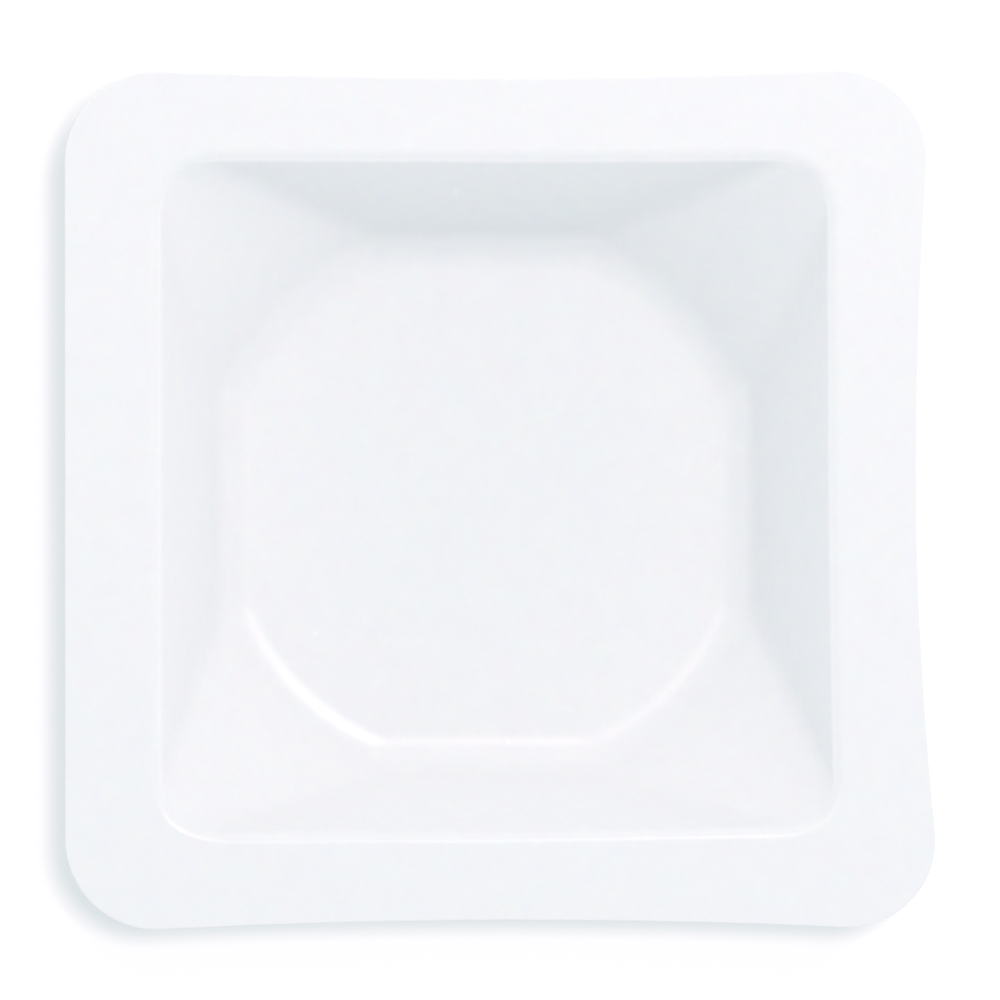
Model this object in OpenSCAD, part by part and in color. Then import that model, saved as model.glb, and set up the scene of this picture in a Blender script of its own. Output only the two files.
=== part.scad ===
// Square weighing dish, formed from one thin sheet of white polystyrene.
// A flat flange with rounded corners surrounds a square mouth. Four plane walls run down from the
// mouth's sides and four conical walls from its corners. They end on a flat floor, whose outline is
// a circle with four short flats. Both skins of the sheet follow one profile, so the sheet has the
// same thickness from the trimmed edge to the floor, round both fillets.
// Sizes follow one chain: the flange gives the mouth, the mouth gives the floor's flats, and the
// flats carry the floor's round stretches. The walls keep their slope when the dish grows.
// The origin is at the middle of the floor's underside, where the dish stands, with +X to the right,
// +Y to the back and +Z up.

/* [Overall] */
// Width of the flange from left to right, over its corners
dish_w = 41.3; // [34:0.05:60]
// Depth of the flange from front to back, over its corners
dish_d = 40.85; // [34:0.05:60]
// Height from the floor's underside to the top of the flange
dish_h = 8; // [6:0.1:14]
// Thickness of the sheet
sheet_t = 0.3; // [0.15:0.05:0.6]

/* [Flange] */
// Width of the flange along the right side
rim_right = 4.15; // [1:0.05:8]
// Width of the flange along the back
rim_back = 3.65; // [1:0.05:8]
// Width of the flange along the left side
rim_left = 4.0; // [1:0.05:8]
// Width of the flange along the front
rim_front = 4.0; // [1:0.05:8]
// Radius of the flange's corners
flange_corner_r = 4.3; // [1:0.1:8]
// How far the middle of the right edge is drawn in
bow_right = 0.55; // [0:0.05:0.8]
// How far the middle of the back edge is drawn in
bow_back = 0.25; // [0:0.05:0.8]
// How far the middle of the left edge is drawn in
bow_left = 0; // [0:0.05:0.8]
// How far the middle of the front edge is drawn in
bow_front = 0.4; // [0:0.05:0.8]

/* [Mouth] */
// Mean radius of the mouth's corners
mouth_corner_r = 3.9; // [1.5:0.1:6]
// How much a mouth's corner eases into the sides. 0 is a round arc.
mouth_corner_ease = 0.5; // [0:0.05:0.6]
// Radius of the rounded edge between the flange and the walls, on the lower skin
rim_fillet_r = 0.45; // [0.1:0.05:1.5]

/* [Walls and floor] */
// Width of a plane wall seen from above, from the mouth's side to the floor's flat
wall_run = 5.4; // [4:0.05:8]
// Radius of the floor's round stretches, where the floor starts to curve up
floor_r = 12.2; // [8:0.05:15]
// How far the flats cut into the floor's circle
flat_cut = 1.0; // [0.2:0.05:2]
// Radius of the floor's outline where a flat meets a round stretch
floor_corner_r = 1.2; // [0:0.1:3]
// Radius of the hollow curve from the floor to the plane walls
side_fillet_r = 2.25; // [0.5:0.05:3]
// Radius of the hollow curve from the floor to the conical walls
corner_fillet_r = 2.9; // [0.5:0.05:4]

/* [Warp] */
// How far the rim's front right corner has crept out to the right
front_creep = 0.45; // [0:0.05:1.5]
// How far the rim's back right corner has crept out to the back
back_creep = 0.35; // [0:0.05:1.5]
// How far the mouth's front right corner is drawn in towards the back
corner_draw = 0.25; // [0:0.05:0.8]

/* [Smoothness] */
// Steps along each side
side_steps = 8; // [2:1:16]
// Steps round each end of a floor flat
fan_steps = 4; // [1:1:6]
// Steps along each of the floor's round stretches
arc_steps = 10; // [2:1:16]
// Steps down the rounded edge of the rim
rim_steps = 6; // [2:1:8]
// Steps down the hollow curve to the floor
fillet_steps = 8; // [2:1:12]

/* [Hidden] */

// Sides are numbered counterclockwise from the right: right, back, left, front.
SIDES = 4;
// How steeply each warp grows towards its corner: with these powers of the distance to the front,
// to the right and to the front
FRONT_CREEP_POWER = 1.5;
BACK_CREEP_POWER = 2;
DRAW_POWER = 2;
bow = [bow_right, bow_back, bow_left, bow_front];
rim_top_r = rim_fillet_r + sheet_t;
flange_half = [dish_w / 2, dish_d / 2];
// The dish is centred on its mouth, so a flange of unequal sides lies off centre.
flange_middle = [(rim_right - rim_left) / 2, (rim_back - rim_front) / 2];
mouth_half = [(dish_w - rim_right - rim_left) / 2, (dish_d - rim_back - rim_front) / 2];
floor_half = [mouth_half.x - wall_run, mouth_half.y - wall_run];
// Distance from the centre of a mouth's corner to the two sides that it joins
mouth_reach = mouth_corner_r * (1 - mouth_corner_ease / 15);
// Radius on which the centres of the floor's small corners lie, about the middle of its round stretch
corner_orbit = floor_r - floor_corner_r;
// Angle between a side's normal and the small corner at the end of its flat
corner_angle = acos((floor_r - flat_cut - floor_corner_r) / corner_orbit);

function dir(angle) = [cos(angle), sin(angle)];
function turn(p, angle) = [p.x * cos(angle) - p.y * sin(angle), p.x * sin(angle) + p.y * cos(angle)];
function half_across(half, side) = half[side % 2];
function half_along(half, side) = half[(side + 1) % 2];

// Centre of the corner arc after a side, for a rectangle given by its half sizes. Reach is the
// distance from the centre to both sides.
function corner_centre(half, reach, side) =
    turn([half_across(half, side) - reach, half_along(half, side) - reach], 90 * side);

// A station is a place on the way round the dish, [side, along, normal]. Along runs from -1 to 1 on
// the side's straight stretch, and normal is the direction, in degrees, that the wall faces away from.
// Mouth and floor are joined where their outlines have the same normal, so the walls don't twist.
corner_normals = concat(
    [for (i = [0:fan_steps - 1]) corner_angle * i / fan_steps],
    [for (i = [0:arc_steps - 1]) corner_angle + (90 - 2 * corner_angle) * i / arc_steps],
    [for (i = [0:fan_steps - 1]) 90 - corner_angle + corner_angle * i / fan_steps]
);
stations = [
    for (side = [0:SIDES - 1]) each concat(
        [for (i = [0:side_steps - 1]) [side, 2 * i / side_steps - 1, 90 * side]],
        [for (a = corner_normals) [side, 1, 90 * side + a]]
    )
];

function past_side(s) = s[2] - 90 * s[0];

// A floor's round stretch, from the middle of its arc: a small corner at each end and the arc itself
function round_stretch_point(s) =
    let (a = past_side(s), start = 90 * s[0])
    a < corner_angle ? corner_orbit * dir(start + corner_angle) + floor_corner_r * dir(s[2]) :
    a > 90 - corner_angle ? corner_orbit * dir(start + 90 - corner_angle) + floor_corner_r * dir(s[2]) :
    floor_r * dir(s[2]);

// Edge of the flat floor
function floor_point(s) =
    let (
        reach = floor_r - flat_cut,
        flat_end = half_along(floor_half, s[0]) - reach + corner_orbit * sin(corner_angle)
    )
    past_side(s) == 0
        ? turn([half_across(floor_half, s[0]), s[1] * flat_end], 90 * s[0])
        : corner_centre(floor_half, reach, s[0]) + round_stretch_point(s);

// The mouth's front right corner is drawn in, and the sides that meet there follow it.
function drawn_in(p) =
    let (to_right = max(0, p.x / mouth_half.x), to_front = max(0, -p.y / mouth_half.y))
    p + [0, corner_draw * to_right * pow(to_front, DRAW_POWER)];

// Point on a mouth's corner, from its centre, where the corner's normal has turned by angle. The
// radius of curvature is mouth_corner_r * (1 + mouth_corner_ease * cos(4 * angle)), so the corner is
// slack where it leaves a side and tightest at its middle. The point is the integral of that.
function eased_corner(angle) =
    mouth_corner_r * [
        cos(angle) + mouth_corner_ease * (cos(5 * angle) / 10 - cos(3 * angle) / 6),
        sin(angle) + mouth_corner_ease * (sin(5 * angle) / 10 + sin(3 * angle) / 6)
    ];

// Inner edge of the flange: a square with eased corners
function mouth_point(s) =
    let (across = half_across(mouth_half, s[0]), side_end = half_along(mouth_half, s[0]) - mouth_reach)
    drawn_in(past_side(s) == 0
        ? turn([across, s[1] * side_end], 90 * s[0])
        : corner_centre(mouth_half, mouth_reach, s[0]) + turn(eased_corner(past_side(s)), 90 * s[0]));

// A drawn-in side is an arc that touches both corner arcs. This is half the angle that it turns.
function bow_angle(side) =
    2 * atan(bow[side % SIDES] / (half_along(flange_half, side) - flange_corner_r));

// Point on a drawn-in side, in the side's own directions: x across it and y along it
function bowed_side_point(side, along) =
    let (
        r = flange_corner_r,
        across = half_across(flange_half, side),
        chord = half_along(flange_half, side) - r,
        half_turn = bow_angle(side),
        reach = chord / sin(half_turn),
        angle = along * half_turn
    )
    half_turn == 0
        ? [across, along * chord]
        : [across - r + reach * cos(half_turn) - (reach - r) * cos(angle), (reach - r) * sin(angle)];

// Trimmed outer edge of the flange
function flange_point(s) =
    let (
        side = s[0],
        first = bow_angle(side),
        sweep = 90 + first + bow_angle(side + 1),
        angle = 90 * side - first + sweep * past_side(s) / 90
    )
    flange_middle + (past_side(s) == 0
        ? turn(bowed_side_point(side, s[1]), 90 * side)
        : corner_centre(flange_half, flange_corner_r, side) + flange_corner_r * dir(angle));

// The hollow curve is tighter under the plane walls than under the conical ones.
function floor_fillet(normal) =
    side_fillet_r + (corner_fillet_r - side_fillet_r) * pow(sin(2 * normal), 2);

// Slope of the straight wall that touches both fillets, run being the width between their far edges
function wall_slope(run, fillets) =
    let (rise = dish_h - sheet_t - fillets)
    atan2(rise, run) + asin(fillets / norm([run, rise]));

// One skin's points at a station, from the trimmed edge down to the floor. The upper skin has depth
// 0 and the lower one has the sheet's thickness.
function skin_profile(s, depth) =
    let (
        edge = flange_point(s),
        mouth = mouth_point(s),
        base = floor_point(s),
        out = dir(s[2]),
        hollow_r = floor_fillet(s[2]),
        slope = wall_slope((mouth - base) * out, rim_top_r + hollow_r),
        rim_r = rim_top_r - depth,
        cove_r = hollow_r + depth
    )
    concat(
        [[edge.x, edge.y, dish_h - depth]],
        [for (i = [0:rim_steps])
            let (a = slope * i / rim_steps, p = mouth - rim_r * sin(a) * out)
            [p.x, p.y, dish_h - rim_top_r + rim_r * cos(a)]],
        [for (i = [fillet_steps:-1:0])
            let (a = slope * i / fillet_steps, p = base + cove_r * sin(a) * out)
            [p.x, p.y, sheet_t + hollow_r - cove_r * cos(a)]]
    );

// The sheet has crept at the rim's two right corners, and not at all at the floor.
function crept(p) =
    let (
        to_right = max(0, p.x / flange_half.x),
        to_back = max(0, p.y / flange_half.y),
        to_front = max(0, -p.y / flange_half.y),
        to_rim = max(0, p.z - sheet_t) / (dish_h - sheet_t)
    )
    p + to_rim * [
        front_creep * to_right * pow(to_front, FRONT_CREEP_POWER),
        back_creep * pow(to_right, BACK_CREEP_POWER) * to_back,
        0
    ];

// Two triangles for each cell between neighbouring stations, where one runs from ring j to ring k
function cells(here, next, j, k) = [[here + j, next + k, next + j], [here + j, here + k, next + k]];
function reversed(faces) = [for (f = faces) [f[0], f[2], f[1]]];

// Flange and walls: the two skins, joined along the trimmed edge and round the floor's opening
module flange_and_walls() {
    around = len(stations);
    rings = rim_steps + fillet_steps + 3;
    skin = around * rings;
    starts = [for (i = [0:around - 1]) [i * rings, ((i + 1) % around) * rings]];
    points = [
        for (depth = [0, sheet_t], s = stations) each [for (p = skin_profile(s, depth)) crept(p)]
    ];
    upper = [for (s = starts, j = [0:rings - 2]) each cells(s[0], s[1], j, j + 1)];
    lower = [for (s = starts, j = [0:rings - 2]) each cells(skin + s[0], skin + s[1], j, j + 1)];
    outer_edge = [for (s = starts) each cells(s[0], s[1], 0, skin)];
    floor_edge = [for (s = starts) each cells(s[0], s[1], rings - 1, skin + rings - 1)];
    polyhedron(points, concat(upper, reversed(lower), reversed(outer_edge), floor_edge));
}

module floor_plate() {
    linear_extrude(sheet_t)
        polygon([for (s = stations) floor_point(s)]);
}

module dish() {
    color("white")
        union() {
            flange_and_walls();
            floor_plate();
        }
}

dish();
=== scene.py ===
"""Square white weighing dish: one thin formed sheet of polystyrene on a pale studio floor.

The CAD node in model.glb gives the dish's height. The sheet is drawn again here with a fine mesh, on
the same profile as the CAD node, so that its rounded edges shade smoothly. It has the slight
unevenness of a formed sheet, and the surface of white polystyrene.
"""

import math

import bpy
import numpy as np
from mathutils import Matrix, Vector, noise


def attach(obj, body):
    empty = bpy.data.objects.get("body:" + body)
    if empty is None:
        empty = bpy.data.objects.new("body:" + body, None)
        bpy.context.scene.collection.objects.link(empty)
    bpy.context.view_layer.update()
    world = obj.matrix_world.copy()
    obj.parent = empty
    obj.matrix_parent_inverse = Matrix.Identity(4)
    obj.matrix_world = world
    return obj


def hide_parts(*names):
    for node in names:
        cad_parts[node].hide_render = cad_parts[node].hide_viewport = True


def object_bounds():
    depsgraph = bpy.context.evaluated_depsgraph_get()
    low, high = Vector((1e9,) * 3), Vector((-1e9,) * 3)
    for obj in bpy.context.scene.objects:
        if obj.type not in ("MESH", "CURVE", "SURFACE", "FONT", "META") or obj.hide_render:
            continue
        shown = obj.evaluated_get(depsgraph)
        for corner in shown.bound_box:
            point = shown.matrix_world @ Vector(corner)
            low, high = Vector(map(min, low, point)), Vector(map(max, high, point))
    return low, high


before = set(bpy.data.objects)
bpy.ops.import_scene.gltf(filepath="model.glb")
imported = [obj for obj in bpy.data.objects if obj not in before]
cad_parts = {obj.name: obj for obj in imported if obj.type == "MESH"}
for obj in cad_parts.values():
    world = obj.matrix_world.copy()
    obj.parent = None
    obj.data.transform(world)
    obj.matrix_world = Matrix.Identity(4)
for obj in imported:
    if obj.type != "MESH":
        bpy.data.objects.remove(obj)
CAD_LOW, CAD_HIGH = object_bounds()

MM = 0.001

# Sizes of the dish, as in the CAD model, but for a slightly tighter mouth corner at the front right.
# Values for the four sides run counterclockwise: right, back, left, front. A corner goes with the
# side before it.
DISH_HALF = np.array([20.65, 20.425]) * MM
DISH_H = CAD_HIGH.z - CAD_LOW.z
SHEET_T = 0.3 * MM
RIM_WIDTHS = np.array([4.15, 3.65, 4.0, 4.0]) * MM
FLANGE_CORNER_R = 4.3 * MM
BOWS = np.array([0.55, 0.25, 0.0, 0.4]) * MM
MOUTH_CORNER_RS = np.array([3.9, 3.9, 3.9, 3.5]) * MM
MOUTH_CORNER_EASE = 0.5
RIM_TOP_R = 0.75 * MM
WALL_RUN = 5.4 * MM
FLOOR_R = 12.2 * MM
FLAT_CUT = 1.0 * MM
FLOOR_CORNER_R = 1.2 * MM
SIDE_FILLET_R = 2.25 * MM
CORNER_FILLET_R = 2.9 * MM
FRONT_CREEP, FRONT_CREEP_POWER = 0.45 * MM, 1.5
BACK_CREEP, BACK_CREEP_POWER = 0.35 * MM, 2
CORNER_DRAW, DRAW_POWER = 0.25 * MM, 2

# What the CAD model leaves out: the trimmed edge's worn arris and the sheet's slight unevenness
EDGE_R = 0.05 * MM
RIM_DROOP = 0.05 * MM
WAVE_HEIGHT = 0.012 * MM
WAVE_LENGTH = 9 * MM

# Finish of the sheet. Scales are in waves per metre. One mottling shifts both colour and roughness.
SHEET_COLOR = (0.906, 0.923, 0.931)
SHEET_IOR = 1.5
ROUGHNESS_LOW, ROUGHNESS_HIGH = 0.26, 0.34
MOTTLE_SCALE, MOTTLE_STRENGTH = 900, 0.1
MOTTLE_DETAIL, MOTTLE_HARSHNESS = 5, 0.85
GRAIN_SCALE, GRAIN_DETAIL = 5000, 2
GRAIN_STRENGTH, GRAIN_HEIGHT = 0.3, 0.01 * MM
# Gel specks and light spots on the sheet, seen from above: x and y of the middle and the radius, in
# mm.
# At the light spots the sheet's colour is painted lighter, and raised specks stand proud of the
# sheet.
LIGHT_SPOTS = [(-1.69, 14.78, 0.27), (-8.25, -6.38, 0.2)]
RAISED_SPECKS = [(9.1, -9.1, 0.3), (1.0, -11.65, 0.25)]
LIGHT_SPOT_TONE, RAISED_HEIGHT = 0.055, 0.01 * MM

# Mesh steps: three counts for the way round, then one for each part of the way in
SIDE_STEPS = 28
FAN_STEPS = 6
ARC_STEPS = 32
EDGE_STEPS = 3
FLANGE_STEPS = 14
RIM_STEPS = 12
WALL_STEPS = 12
COVE_STEPS = 18
FLOOR_STEPS = 12

SIDES = 4
QUARTER = math.pi / 2
MOUTH_HALF = DISH_HALF - np.array([RIM_WIDTHS[0] + RIM_WIDTHS[2], RIM_WIDTHS[1] + RIM_WIDTHS[3]]) / 2
FLANGE_MIDDLE = np.array([RIM_WIDTHS[0] - RIM_WIDTHS[2], RIM_WIDTHS[1] - RIM_WIDTHS[3]]) / 2
# How far a mouth corner reaches along its sides. The easing in mouth_outline() shortens this.
MOUTH_REACHES = MOUTH_CORNER_RS * (1 - MOUTH_CORNER_EASE / 15)
FLOOR_HALF = MOUTH_HALF - WALL_RUN
FLOOR_REACH = FLOOR_R - FLAT_CUT
CORNER_ORBIT = FLOOR_R - FLOOR_CORNER_R
CORNER_ANGLE = math.acos((FLOOR_REACH - FLOOR_CORNER_R) / CORNER_ORBIT)


# ---------------------------------------------------------------- outlines
def directions(angles):
    """Unit vectors in plan."""
    return np.stack([np.cos(angles), np.sin(angles)], -1)


def turned(x, y, angles):
    """The points x, y, each turned about the middle by its own angle."""
    c, s = np.cos(angles), np.sin(angles)
    return np.stack([x * c - y * s, x * s + y * c], -1)


def stations():
    """Places on the way round: the side, the place along it from -1 to 1, and the angle past it."""
    straight = [(2 * i / SIDE_STEPS - 1, 0.0) for i in range(SIDE_STEPS)]
    turns = np.concatenate([
        np.linspace(0, CORNER_ANGLE, FAN_STEPS, endpoint=False),
        np.linspace(CORNER_ANGLE, QUARTER - CORNER_ANGLE, ARC_STEPS, endpoint=False),
        np.linspace(QUARTER - CORNER_ANGLE, QUARTER, FAN_STEPS, endpoint=False),
    ])
    one_side = straight + [(1.0, past) for past in turns]
    rows = [(side, along, past) for side in range(SIDES) for along, past in one_side]
    side, along, past = np.array(rows).T
    return side.astype(int), along, past, np.tile(np.arange(len(one_side)) < SIDE_STEPS, SIDES)


SIDE, ALONG, PAST, STRAIGHT = stations()
START = SIDE * QUARTER
OUT = directions(START + PAST)


def across(half):
    """From half sizes in x and y, the one that lies square to each station's side."""
    return half[SIDE % 2]


def beside(half):
    """From half sizes in x and y, the one that lies along each station's side."""
    return half[(SIDE + 1) % 2]


def outline(straight_points, corner_points):
    return np.where(STRAIGHT[:, None], straight_points, corner_points)


def corner_centres(half, reach):
    """Centres of the corners, which lie a corner's reach in from both of its sides."""
    return turned(across(half) - reach, beside(half) - reach, START)


def floor_outline():
    """Edge of the flat floor: a circle with four flats and small corners where they meet."""
    flat_end = beside(FLOOR_HALF) - FLOOR_REACH + CORNER_ORBIT * math.sin(CORNER_ANGLE)
    flats = turned(across(FLOOR_HALF), ALONG * flat_end, START)
    bend = np.clip(PAST, CORNER_ANGLE, QUARTER - CORNER_ANGLE)
    rounds = CORNER_ORBIT * directions(START + bend) + FLOOR_CORNER_R * OUT
    return outline(flats, corner_centres(FLOOR_HALF, FLOOR_REACH) + rounds)


def mouth_outline():
    """Inner edge of the flange. At an angle a past its side, a corner's radius is its mean radius
    times 1 + MOUTH_CORNER_EASE * cos(4 * a), so that it turns gently into both sides. The front
    right corner is drawn in to the back."""
    side_start = MOUTH_REACHES[SIDE - 1] - beside(MOUTH_HALF)
    side_end = beside(MOUTH_HALF) - MOUTH_REACHES[SIDE]
    sides = turned(across(MOUTH_HALF), side_start + (side_end - side_start) * (ALONG + 1) / 2, START)
    x = np.cos(PAST) + MOUTH_CORNER_EASE * (np.cos(5 * PAST) / 10 - np.cos(3 * PAST) / 6)
    y = np.sin(PAST) + MOUTH_CORNER_EASE * (np.sin(5 * PAST) / 10 + np.sin(3 * PAST) / 6)
    r = MOUTH_CORNER_RS[SIDE]
    corners = corner_centres(MOUTH_HALF, MOUTH_REACHES[SIDE]) + turned(r * x, r * y, START)
    points = outline(sides, corners)
    to_right = np.maximum(0, points[:, 0] / MOUTH_HALF[0])
    to_front = np.maximum(0, -points[:, 1] / MOUTH_HALF[1])
    points[:, 1] += CORNER_DRAW * to_right * to_front ** DRAW_POWER
    return points


def flange_outline():
    """Trimmed outer edge, whose sides are shallow arcs that touch the corner arcs."""
    r = FLANGE_CORNER_R
    chord = beside(DISH_HALF) - r
    half_turn = 2 * np.arctan(BOWS[SIDE] / chord)
    next_turn = 2 * np.arctan(BOWS[(SIDE + 1) % SIDES] / (across(DISH_HALF) - r))
    bowed = half_turn > 0
    safe_turn = np.where(bowed, half_turn, 1.0)
    reach = chord / np.sin(safe_turn)
    arc = ALONG * safe_turn
    bow = reach * np.cos(safe_turn) - r - (reach - r) * np.cos(arc)
    x = across(DISH_HALF) + np.where(bowed, bow, 0)
    y = np.where(bowed, (reach - r) * np.sin(arc), ALONG * chord)
    corner_angle = START - half_turn + (QUARTER + half_turn + next_turn) * PAST / QUARTER
    corners = corner_centres(DISH_HALF, r) + r * directions(corner_angle)
    return FLANGE_MIDDLE + outline(turned(x, y, START), corners)


# ---------------------------------------------------------------- the formed sheet
def ring(points, heights):
    """Points in space from points in plan and one or more heights."""
    return np.column_stack([points, np.broadcast_to(heights, len(points))])


def skin(depth):
    """Rings of one skin, from the trimmed edge to the middle of the floor. The upper skin's depth
    is 0."""
    edge, mouth, base = flange_outline(), mouth_outline(), floor_outline()
    run = ((mouth - base) * OUT).sum(-1)
    hollow_r = SIDE_FILLET_R + (CORNER_FILLET_R - SIDE_FILLET_R) * np.sin(2 * PAST) ** 2
    fillets = RIM_TOP_R + hollow_r
    rise = DISH_H - SHEET_T - fillets
    slope = np.arctan2(rise, run) + np.arcsin(fillets / np.hypot(run, rise))
    rim_r, cove_r = RIM_TOP_R - depth, hollow_r + depth
    top = DISH_H - depth
    drop = -EDGE_R if depth == 0 else EDGE_R

    inward = mouth - edge
    inward /= np.linalg.norm(inward, axis=1)[:, None]
    rings = []
    for i in range(EDGE_STEPS):
        a = QUARTER * i / EDGE_STEPS
        rings.append(ring(edge + EDGE_R * (1 - math.cos(a)) * inward, top + drop * (1 - math.sin(a))))
    start = edge + EDGE_R * inward
    # Rings lie closer at both ends of the flange, so that the edges' smooth shading stays off it.
    for i in range(FLANGE_STEPS):
        share = (1 - math.cos(math.pi * i / FLANGE_STEPS)) / 2
        rings.append(ring(start + (mouth - start) * share, top))
    for i in range(RIM_STEPS + 1):
        a = slope * i / RIM_STEPS
        inner = mouth - (rim_r * np.sin(a))[:, None] * OUT
        rings.append(ring(inner, DISH_H - RIM_TOP_R + rim_r * np.cos(a)))
    cove = []
    for i in range(COVE_STEPS + 1):
        a = slope * (1 - i / COVE_STEPS)
        outer = base + (cove_r * np.sin(a))[:, None] * OUT
        cove.append(ring(outer, SHEET_T + hollow_r - cove_r * np.cos(a)))
    rings += [rings[-1] + (cove[0] - rings[-1]) * (i / WALL_STEPS) for i in range(1, WALL_STEPS)]
    rings += cove
    for i in range(1, FLOOR_STEPS):
        rings.append(ring(base * (1 - i / FLOOR_STEPS), SHEET_T - depth))
    return np.array(rings)


def crept(points):
    """The sheet has crept at the rim's two right corners, and the floor not at all."""
    to_right = np.maximum(0, points[..., 0] / DISH_HALF[0])
    to_back = np.maximum(0, points[..., 1] / DISH_HALF[1])
    to_front = np.maximum(0, -points[..., 1] / DISH_HALF[1])
    to_rim = np.maximum(0, points[..., 2] - SHEET_T) / (DISH_H - SHEET_T)
    points[..., 0] += to_rim * FRONT_CREEP * to_right * to_front ** FRONT_CREEP_POWER
    points[..., 1] += to_rim * BACK_CREEP * to_right ** BACK_CREEP_POWER * to_back
    return points


def uneven(points):
    """Lets the flange droop towards its edge, with a low wave over all but the floor. The wave's
    noise less one is never above 0, so that no point rises out of the CAD model's box."""
    beyond = np.maximum(0, np.abs(points[..., :2]) / MOUTH_HALF - 1)
    out_share = np.linalg.norm(beyond, axis=-1) / np.linalg.norm(DISH_HALF / MOUTH_HALF - 1)
    to_rim = np.clip((points[..., 2] - SHEET_T) / (DISH_H - SHEET_T), 0, 1)
    flat = points.reshape(-1, 3)
    wave = np.array([noise.noise(Vector((x, y, 0)) / WAVE_LENGTH) - 1 for x, y, _ in flat])
    points[..., 2] += (WAVE_HEIGHT * wave.reshape(to_rim.shape) - RIM_DROOP * out_share) * to_rim
    return points


def quads(a, b, c, d):
    return np.column_stack([a, b, c, d]).tolist()


def formed_sheet(material):
    """The whole dish as one closed mesh: upper skin, lower skin, trimmed edge and floor centres."""
    skins = uneven(crept(np.array([skin(0), skin(SHEET_T)])))
    rings, around = skins.shape[1:3]
    middles = [(0, 0, SHEET_T), (0, 0, 0)]
    vertices = skins.reshape(-1, 3).tolist() + middles
    index = np.arange(2 * rings * around).reshape(2, rings, around)
    upper, lower = index
    turn = np.roll(np.arange(around), -1)
    faces = []
    for j in range(rings - 1):
        faces += quads(upper[j], upper[j][turn], upper[j + 1][turn], upper[j + 1])
        faces += quads(lower[j], lower[j + 1], lower[j + 1][turn], lower[j][turn])
    faces += quads(upper[0], lower[0], lower[0][turn], upper[0][turn])
    centre = len(vertices) - len(middles)
    faces += [(a, b, centre) for a, b in zip(upper[-1], upper[-1][turn])]
    faces += [(b, a, centre + 1) for a, b in zip(lower[-1], lower[-1][turn])]

    mesh = bpy.data.meshes.new("formed_dish")
    mesh.from_pydata(vertices, [], faces)
    mesh.shade_smooth()
    mesh.materials.append(material)
    piece = bpy.data.objects.new("formed_dish", mesh)
    bpy.context.scene.collection.objects.link(piece)
    return piece


# ---------------------------------------------------------------- materials
def new_material(name):
    material = bpy.data.materials.new(name)
    material.use_nodes = True
    return material, material.node_tree, material.node_tree.nodes["Principled BSDF"]


def node(tree, kind, **settings):
    """A new node. A setting that names a socket sets its value, and any other sets a property."""
    made = tree.nodes.new(kind)
    for key, value in settings.items():
        if key in made.inputs:
            made.inputs[key].default_value = value
        else:
            setattr(made, key, value)
    return made


def spots(tree, place, specks):
    """A value that is one in the middle of each speck and falls to nothing at its radius in plan."""
    link = tree.links.new
    plan = node(tree, "ShaderNodeVectorMath", operation="MULTIPLY")
    plan.inputs[1].default_value = (1, 1, 0)
    link(place, plan.inputs[0])
    total = None
    for x, y, radius in specks:
        apart = node(tree, "ShaderNodeVectorMath", operation="DISTANCE")
        apart.inputs[1].default_value = (x * MM, y * MM, 0)
        link(plan.outputs[0], apart.inputs[0])
        spot = node(tree, "ShaderNodeMapRange", interpolation_type="SMOOTHERSTEP")
        spot.inputs["From Max"].default_value = radius * MM
        spot.inputs["To Min"].default_value = 1
        spot.inputs["To Max"].default_value = 0
        link(apart.outputs["Value"], spot.inputs["Value"])
        if total is None:
            total = spot.outputs["Result"]
        else:
            both = node(tree, "ShaderNodeMath", operation="ADD")
            link(total, both.inputs[0])
            link(spot.outputs["Result"], both.inputs[1])
            total = both.outputs["Value"]
    return total


def polystyrene():
    """White polystyrene: satin, faintly mottled in tone and gloss, with a fine grain, raised specks
    and spots painted lighter.
    """
    material, tree, shader = new_material("white_polystyrene")
    link = tree.links.new
    place = node(tree, "ShaderNodeTexCoord").outputs["Object"]

    mottle = node(tree, "ShaderNodeTexNoise", Scale=MOTTLE_SCALE, Detail=MOTTLE_DETAIL,
                  Roughness=MOTTLE_HARSHNESS)
    tint = node(tree, "ShaderNodeVectorMath", operation="MULTIPLY_ADD")
    tint.inputs[1].default_value = [MOTTLE_STRENGTH] * 3
    tint.inputs[2].default_value = [channel - MOTTLE_STRENGTH / 2 for channel in SHEET_COLOR]
    link(place, mottle.inputs["Vector"])
    link(mottle.outputs["Color"], tint.inputs[0])

    gloss = node(tree, "ShaderNodeMapRange")
    gloss.inputs["To Min"].default_value = ROUGHNESS_LOW
    gloss.inputs["To Max"].default_value = ROUGHNESS_HIGH
    link(mottle.outputs["Fac"], gloss.inputs["Value"])
    link(gloss.outputs["Result"], shader.inputs["Roughness"])
    shader.inputs["IOR"].default_value = SHEET_IOR

    grain = node(tree, "ShaderNodeTexNoise", Scale=GRAIN_SCALE, Detail=GRAIN_DETAIL)
    link(place, grain.inputs["Vector"])
    fine = node(tree, "ShaderNodeBump", Strength=GRAIN_STRENGTH, Distance=GRAIN_HEIGHT)
    link(grain.outputs["Fac"], fine.inputs["Height"])

    raised = node(tree, "ShaderNodeBump", Strength=1, Distance=RAISED_HEIGHT)
    link(spots(tree, place, RAISED_SPECKS), raised.inputs["Height"])
    link(fine.outputs["Normal"], raised.inputs["Normal"])
    link(raised.outputs["Normal"], shader.inputs["Normal"])

    # Light spots: the sheet's colour is painted lighter there
    lightened = node(tree, "ShaderNodeVectorMath", operation="MULTIPLY_ADD")
    lightened.inputs[1].default_value = [LIGHT_SPOT_TONE] * 3
    link(spots(tree, place, LIGHT_SPOTS), lightened.inputs[0])
    link(tint.outputs[0], lightened.inputs[2])
    link(lightened.outputs[0], shader.inputs["Base Color"])
    return material


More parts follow.
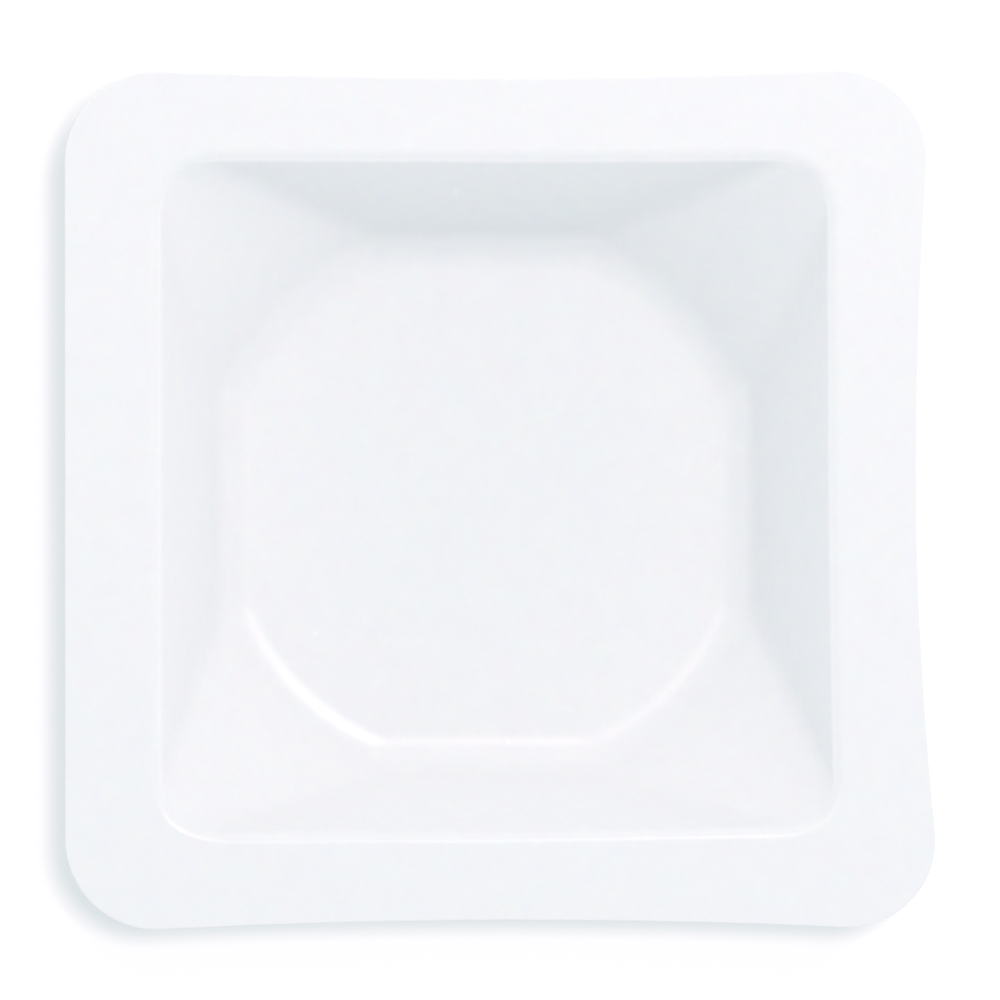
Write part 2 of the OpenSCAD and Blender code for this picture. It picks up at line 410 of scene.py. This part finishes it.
def studio_floor():
    """A floor whose own glow keeps it pale, so that it shows nothing but the dish's close shadow."""
    material, _, shader = new_material("studio_floor")
    shader.inputs["Base Color"].default_value = (*[FLOOR_ALBEDO] * 3, 1)
    shader.inputs["Roughness"].default_value = 1
    shader.inputs["Specular IOR Level"].default_value = 0
    shader.inputs["Emission Color"].default_value = (*FLOOR_GLOW, 1)
    shader.inputs["Emission Strength"].default_value = 1
    half = FLOOR_WIDTH / 2
    corners = [(-half, -half, 0), (half, -half, 0), (half, half, 0), (-half, half, 0)]
    mesh = bpy.data.meshes.new("studio_floor")
    mesh.from_pydata(corners, [], [(0, 1, 2, 3)])
    mesh.materials.append(material)
    floor = bpy.data.objects.new("studio_floor", mesh)
    bpy.context.scene.collection.objects.link(floor)
    return floor


# ---------------------------------------------------------------- light and camera
# Azimuths run counterclockwise from the right and polar angles from straight up, both in degrees. A
# light's level is what it adds to a white sheet that faces it, where 1 is full white.
LIGHT_DISTANCE = 0.5
SKY_LEVEL, SKY_COLOR = 0.587, (0.873, 1.056, 1.106)
LAMP_COLOR = (1.168, 0.894, 0.881)
KEY_BOX = dict(polar=27, width=15, height=15)
HIGH_FILL_BOX = dict(polar=62, width=34, height=36)
LOW_FILL_BOX = dict(polar=80, width=34, height=20)
SOFTBOXES = {
    "key": dict(azimuth=52, level=0.246, **KEY_BOX),
    "second_key": dict(azimuth=112, level=0.05, **KEY_BOX),
    "third_key": dict(azimuth=137, level=0.05, polar=19, width=15, height=12),
    "back_fill": dict(azimuth=90, level=0.07, **HIGH_FILL_BOX),
    "left_fill": dict(azimuth=180, level=0.029, **HIGH_FILL_BOX),
    "corner_fill": dict(azimuth=315, level=0.056, **HIGH_FILL_BOX),
    "low_right_fill": dict(azimuth=0, level=0.095, **LOW_FILL_BOX),
    "low_left_fill": dict(azimuth=180, level=0.104, **LOW_FILL_BOX),
    "low_front_fill": dict(azimuth=270, level=0.123, **LOW_FILL_BOX),
}
# An overhead light that falls on the floor alone and draws the dish's close shadow
OVERHEAD = dict(azimuth=38, polar=2.2, width=8.5, height=8.5, level=1.75)
FLOOR_WIDTH, FLOOR_ALBEDO, FLOOR_GLOW = 1.2, 0.15, (0.605, 0.65, 0.67)


def sky_direction(azimuth, polar):
    a, p = math.radians(azimuth), math.radians(polar)
    return Vector((math.sin(p) * math.cos(a), math.sin(p) * math.sin(a), math.cos(p)))


def softbox(name, azimuth, polar, width, height, level):
    """A rectangular light that faces the dish. Its width and height are the angles it spans."""
    light = bpy.data.lights.new(name, "AREA")
    light.shape = "RECTANGLE"
    light.size = 2 * LIGHT_DISTANCE * math.tan(math.radians(width / 2))
    light.size_y = 2 * LIGHT_DISTANCE * math.tan(math.radians(height / 2))
    light.energy = (math.pi * LIGHT_DISTANCE) ** 2 * level
    light.color = LAMP_COLOR
    lamp = bpy.data.objects.new(name, light)
    bpy.context.scene.collection.objects.link(lamp)
    away = sky_direction(azimuth, polar)
    lamp.location = Vector((0, 0, DISH_H / 2)) + away * LIGHT_DISTANCE
    lamp.rotation_euler = away.to_track_quat("Z", "Y").to_euler()
    return lamp


def light_only(lamp, lit):
    """Keeps a lamp's light off everything but one object."""
    receivers = bpy.data.collections.new(lamp.name + "_receivers")
    receivers.objects.link(lit)
    lamp.light_linking.receiver_collection = receivers


def sky(level, color):
    """An even light from all round, whose level is as a softbox's."""
    world = bpy.data.worlds.new("studio")
    world.use_nodes = True
    background = world.node_tree.nodes["Background"]
    background.inputs["Color"].default_value = (*color, 1)
    background.inputs["Strength"].default_value = level
    bpy.context.scene.world = world


CAMERA_DISTANCE = 450 * MM
CAMERA_CLIP = 0.01, 10
# Leans and roll of the view, in radians, and the width that it takes in at the rim
CAMERA_LEAN_LEFT = 0.076
CAMERA_LEAN_FRONT = 0.0347
CAMERA_ROLL = 0.0024
VIEW_WIDTH = 47.75 * MM
SENSOR_WIDTH = 36
# The middle of the view lies this far from the middle of the rim.
AIM_OFFSET = Vector((0.167, -0.172, 0)) * MM


def camera():
    """A long lens almost straight above the rim, a little to the left and the front."""
    lens = bpy.data.cameras.new("camera")
    lens.sensor_width = SENSOR_WIDTH
    lens.lens = SENSOR_WIDTH * CAMERA_DISTANCE / VIEW_WIDTH
    lens.clip_start, lens.clip_end = CAMERA_CLIP
    eye = bpy.data.objects.new("camera", lens)
    bpy.context.scene.collection.objects.link(eye)
    back = Vector((-math.tan(CAMERA_LEAN_LEFT), -math.tan(CAMERA_LEAN_FRONT), 1)).normalized()
    right = Vector((0, 1, 0)).cross(back).normalized()
    axes = Matrix((right, back.cross(right), back)).transposed()
    axes = axes @ Matrix.Rotation(-CAMERA_ROLL, 3, "Z")
    place = Vector((0, 0, DISH_H)) + AIM_OFFSET + back * CAMERA_DISTANCE
    eye.matrix_world = Matrix.Translation(place) @ axes.to_4x4()
    bpy.context.scene.camera = eye


bpy.context.scene.view_settings.view_transform = "Standard"

dish = formed_sheet(polystyrene())
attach(dish, "root")
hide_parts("dish")

floor = studio_floor()

sky(SKY_LEVEL, SKY_COLOR)
for name, box in SOFTBOXES.items():
    softbox(name, **box)
light_only(softbox("overhead", **OVERHEAD), floor)
camera()
